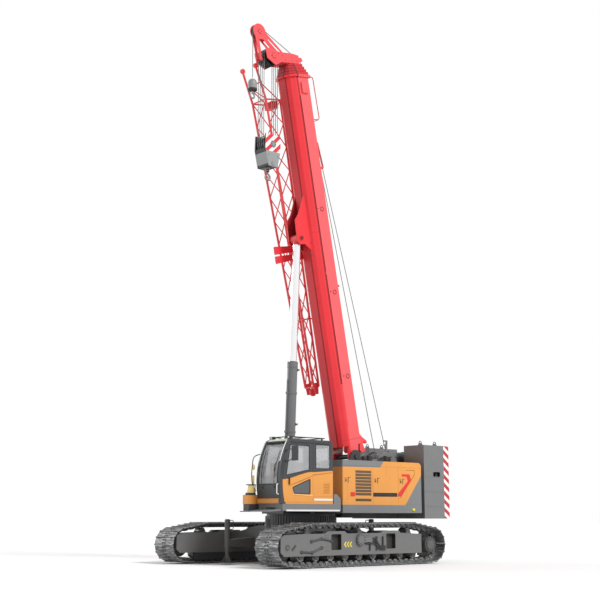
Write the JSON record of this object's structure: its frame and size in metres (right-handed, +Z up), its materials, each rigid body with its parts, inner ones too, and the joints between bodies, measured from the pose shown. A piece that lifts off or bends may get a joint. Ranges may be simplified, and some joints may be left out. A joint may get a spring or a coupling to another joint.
{
  "type": "telescopic-boom crawler crane",
  "caption": "Crawler crane with a retracted telescopic boom held steep by one luffing cylinder, a stowed lattice jib, a hook block and a ball hook, hinged cab and hood doors.",
  "frame": {"origin": "on the ground under the slew axis", "axes": "+X forward, +Y to the machine's left (cab side), +Z up"},
  "size_m": [7.9296, 5.17, 15.4895],
  "materials": {
    "track_steel": "worn dark track steel",
    "chassis_grey": "semi-gloss mid-grey machine paint",
    "dark_grey": "satin dark grey machine paint",
    "weight_grey": "satin grey paint on cast counterweights",
    "cab_orange": "gloss orange-yellow machine paint",
    "boom_red": "gloss signal-red paint",
    "rod_chrome": "hard chrome",
    "rope_steel": "bright galvanized wire rope",
    "sheave_black": "cast nylon sheaves",
    "trim_black": "black moulded trim",
    "hook_grey": "grey painted forging",
    "cab_glass": "clear safety glass",
    "seat_trim": "black seat cloth"
  },
  "bodies": {
    "undercarriage": {"car_body": "chassis_grey", "slew_bearing": "track_steel", "left_track_frame": "chassis_grey", "right_track_frame": "chassis_grey", "left_track": "track_steel", "right_track": "track_steel", "drive_sprockets": "chassis_grey", "idlers": "chassis_grey", "track_rollers": "track_steel", "jack_arms": "chassis_grey"},
    "jack_leg_fl": {"jack_leg_front_left": "chassis_grey"},
    "jack_leg_fr": {"jack_leg_front_right": "chassis_grey"},
    "jack_leg_rl": {"jack_leg_rear_left": "chassis_grey"},
    "jack_leg_rr": {"jack_leg_rear_right": "chassis_grey"},
    "superstructure": {"turntable": "dark_grey", "side_decks": "dark_grey", "cab_platform": "dark_grey", "cab_shell": "cab_orange", "cab_windows": "cab_glass", "cab_seat": "seat_trim", "cab_mirrors": "trim_black", "roof_rails": "trim_black", "engine_hood": "cab_orange", "engine_block": "dark_grey", "right_hood": "cab_orange", "counterweight": "weight_grey", "winch_frame": "dark_grey"},
    "door_of_cab": {"cab_door": "cab_orange", "cab_door_glass": "cab_glass"},
    "door_one": {"hood_door_1": "cab_orange"},
    "door_two": {"hood_door_2": "cab_orange"},
    "door_three": {"hood_door_3": "cab_orange"},
    "winch_main": {"main_drum": "dark_grey"},
    "winch_aux": {"aux_drum": "dark_grey"},
    "cylinder_barrel": {"luff_barrel": "chassis_grey"},
    "cylinder_rod": {"luff_rod": "rod_chrome"},
    "boom_1": {"boom_base": "boom_red", "lattice_jib": "boom_red", "jib_brackets": "boom_red"},
    "boom_2": {"boom_section_2": "boom_red"},
    "boom_3": {"boom_section_3": "boom_red"},
    "boom_4": {"boom_section_4": "boom_red"},
    "boom_5": {"boom_section_5": "boom_red", "boom_head": "boom_red", "head_sheaves": "sheave_black"},
    "main_hanger": {"main_falls": "rope_steel"},
    "main_block": {"hook_block": "hook_grey", "block_sheaves": "sheave_black", "main_hook": "hook_grey"},
    "aux_hanger": {"aux_fall": "rope_steel"},
    "aux_block": {"aux_ball": "hook_grey", "aux_hook": "hook_grey"}
  },
  "joints": [
    {"name": "slew", "type": "hinge", "parent": "undercarriage", "child": "superstructure", "pos_m": [0, 0, 1.3], "axis": [0, 0, 1], "continuous": true},
    {"name": "boom_luff", "type": "hinge", "parent": "superstructure", "child": "boom_1", "pos_m": [-1.76, 0, 3], "axis": [0, -1, 0], "range_deg": [-79, 1]},
    {"name": "cylinder_tilt", "type": "hinge", "parent": "superstructure", "child": "cylinder_barrel", "pos_m": [0.5, 0, 1.6], "axis": [0, -1, 0], "range_deg": [-83.03, 1.05]},
    {"name": "cylinder_stroke", "type": "slide", "parent": "cylinder_barrel", "child": "cylinder_rod", "axis": [-0.0456, 0, 0.999], "range_m": [-3.35871, 0.04252]},
    {"name": "telescope_2", "type": "slide", "parent": "boom_1", "child": "boom_2", "axis": [0.1908, 0, 0.9816], "range_m": [0, 8.7]},
    {"name": "telescope_3", "type": "slide", "parent": "boom_2", "child": "boom_3", "axis": [0.1908, 0, 0.9816], "range_m": [0, 8.7]},
    {"name": "telescope_4", "type": "slide", "parent": "boom_3", "child": "boom_4", "axis": [0.1908, 0, 0.9816], "range_m": [0, 8.7]},
    {"name": "telescope_5", "type": "slide", "parent": "boom_4", "child": "boom_5", "axis": [0.1908, 0, 0.9816], "range_m": [0, 8.7]},
    {"name": "main_plumb", "type": "hinge", "parent": "boom_5", "child": "main_hanger", "pos_m": [1.30165, 0, 14.55817], "axis": [0, -1, 0], "range_deg": [-1, 79]},
    {"name": "main_hoist", "type": "slide", "parent": "main_hanger", "child": "main_block", "axis": [0, 0, -1], "range_m": [-1.7, 8.5], "deforming": ["main_falls"]},
    {"name": "aux_plumb", "type": "hinge", "parent": "boom_5", "child": "aux_hanger", "pos_m": [1.70189, 0, 15.25459], "axis": [0, -1, 0], "range_deg": [-1, 79]},
    {"name": "aux_hoist", "type": "slide", "parent": "aux_hanger", "child": "aux_block", "axis": [0, 0, -1], "range_m": [-0.9, 8.5], "deforming": ["aux_fall"]},
    {"name": "main_winch", "type": "hinge", "parent": "superstructure", "child": "winch_main", "pos_m": [-3.25, 0, 2.9], "axis": [0, 1, 0], "continuous": true},
    {"name": "aux_winch", "type": "hinge", "parent": "superstructure", "child": "winch_aux", "pos_m": [-3.95, 0, 2.9], "axis": [0, 1, 0], "continuous": true},
    {"name": "cab_door_swing", "type": "hinge", "parent": "superstructure", "child": "door_of_cab", "pos_m": [0.925, 1.503, 2.4], "axis": [0, 0, 1], "range_deg": [0, 85]},
    {"name": "hood_door_one_swing", "type": "hinge", "parent": "superstructure", "child": "door_one", "pos_m": [-1.371, 1.503, 2.15], "axis": [0, 0, 1], "range_deg": [0, 90]},
    {"name": "hood_door_two_swing", "type": "hinge", "parent": "superstructure", "child": "door_two", "pos_m": [-2.412, 1.503, 2.15], "axis": [0, 0, 1], "range_deg": [0, 90]},
    {"name": "hood_door_three_swing", "type": "hinge", "parent": "superstructure", "child": "door_three", "pos_m": [-3.37, 1.503, 2.15], "axis": [0, 0, 1], "range_deg": [0, 90]},
    {"name": "jack_leg_fl_stroke", "type": "slide", "parent": "undercarriage", "child": "jack_leg_fl", "axis": [0, 0, 1], "range_m": [-0.45, 0]},
    {"name": "jack_leg_fr_stroke", "type": "slide", "parent": "undercarriage", "child": "jack_leg_fr", "axis": [0, 0, 1], "range_m": [-0.45, 0]},
    {"name": "jack_leg_rl_stroke", "type": "slide", "parent": "undercarriage", "child": "jack_leg_rl", "axis": [0, 0, 1], "range_m": [-0.45, 0]},
    {"name": "jack_leg_rr_stroke", "type": "slide", "parent": "undercarriage", "child": "jack_leg_rr", "axis": [0, 0, 1], "range_m": [-0.45, 0]}
  ],
  "couplings": [
    {"joint": "cylinder_tilt", "follows": "boom_luff", "ratio": 1.0507},
    {"joint": "cylinder_stroke", "follows": "boom_luff", "m_per_rad": 2.4355},
    {"joint": "telescope_3", "follows": "telescope_2", "ratio": 1},
    {"joint": "telescope_4", "follows": "telescope_2", "ratio": 1},
    {"joint": "telescope_5", "follows": "telescope_2", "ratio": 1},
    {"joint": "main_plumb", "follows": "boom_luff", "ratio": -1},
    {"joint": "aux_plumb", "follows": "boom_luff", "ratio": -1}
  ]
}
